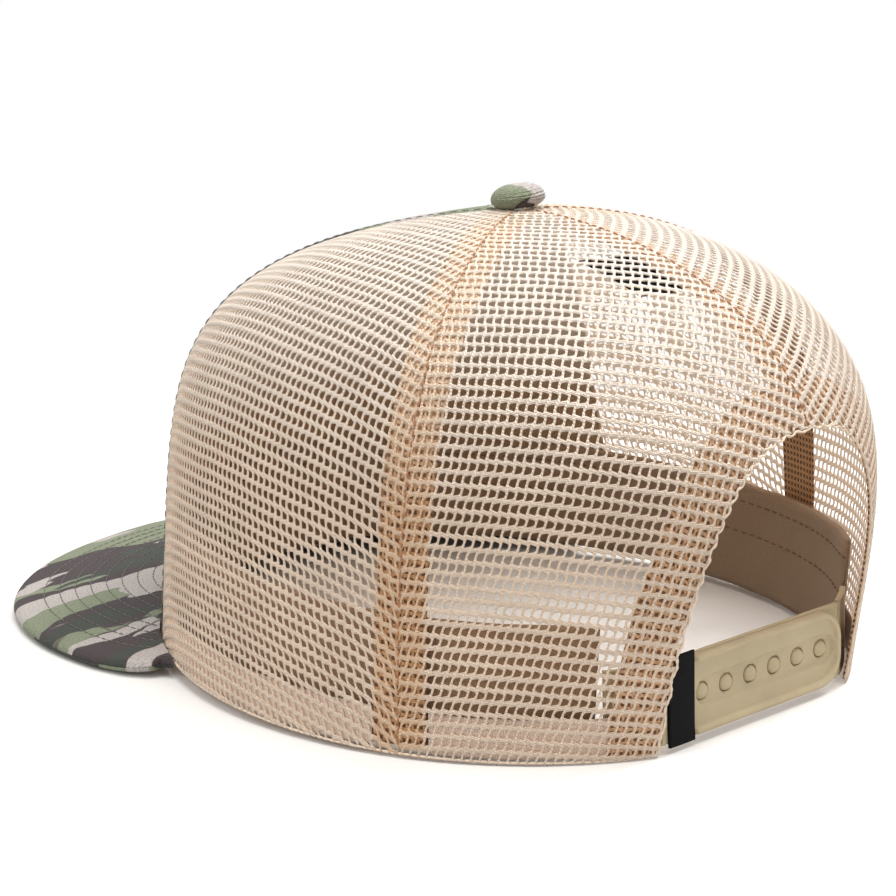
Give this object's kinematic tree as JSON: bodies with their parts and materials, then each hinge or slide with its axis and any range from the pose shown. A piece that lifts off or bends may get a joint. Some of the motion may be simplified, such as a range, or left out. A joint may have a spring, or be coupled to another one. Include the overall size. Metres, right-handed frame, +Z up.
{
  "type": "trucker_cap",
  "caption": "Trucker cap with a woodland-pattern cloth front and visor, tan mesh sides and back, a covered button and a snap closure that opens.",
  "frame": {"origin": "middle of the head opening, on the plane the cap rests on", "axes": "+Z up to the button, -Y to the visor, +X to the wearer's left"},
  "size_m": [0.178, 0.2642, 0.1265],
  "materials": {
    "mesh": "open polyester mesh, light tan",
    "camo_cloth": "woven cotton twill with a woodland pattern",
    "tape": "brown woven tape and band cloth",
    "hem_cloth": "light tan doubled mesh",
    "band_pad": "white foam pad",
    "board": "white visor board",
    "snap_plastic": "khaki moulded plastic, satin",
    "label_cloth": "bare black woven label",
    "button_metal": "plain stamped metal"
  },
  "bodies": {
    "crown": {"front_panel": "camo_cloth", "front_backing": "tape", "left_side_panel": "mesh", "right_side_panel": "mesh", "left_rear_panel": "mesh", "right_rear_panel": "mesh", "front_left_seam_tape": "tape", "front_right_seam_tape": "tape", "side_left_seam_tape": "tape", "side_right_seam_tape": "tape", "rear_center_seam_tape": "tape", "left_side_hem_tape": "hem_cloth", "right_side_hem_tape": "hem_cloth", "left_rear_hem_tape": "hem_cloth", "right_rear_hem_tape": "hem_cloth", "arch_binding": "hem_cloth", "sweatband": "tape", "sweatband_core": "band_pad", "visor_board": "board", "visor_top_cover": "camo_cloth", "visor_under_cover": "camo_cloth", "button_cover": "camo_cloth", "button_core": "button_metal", "button_back": "button_metal", "left_strap_root": "snap_plastic", "right_strap_root": "snap_plastic", "inner_label": "label_cloth"},
    "holes_strap": {"outer_strap": "snap_plastic", "strap_label": "label_cloth"},
    "pegs_strap": {"inner_strap": "snap_plastic"}
  },
  "joints": [
    {"name": "holes_strap_bend", "type": "hinge", "parent": "crown", "child": "holes_strap", "pos_m": [0.033, 0.08868, 0.012], "axis": [0, 0, -1], "range_deg": [0, 70], "stiffness_Nm_per_rad": 0.004},
    {"name": "pegs_strap_bend", "type": "hinge", "parent": "crown", "child": "pegs_strap", "pos_m": [-0.033, 0.08868, 0.012], "axis": [0, 0, -1], "range_deg": [0, 60], "stiffness_Nm_per_rad": 0.004}
  ]
}
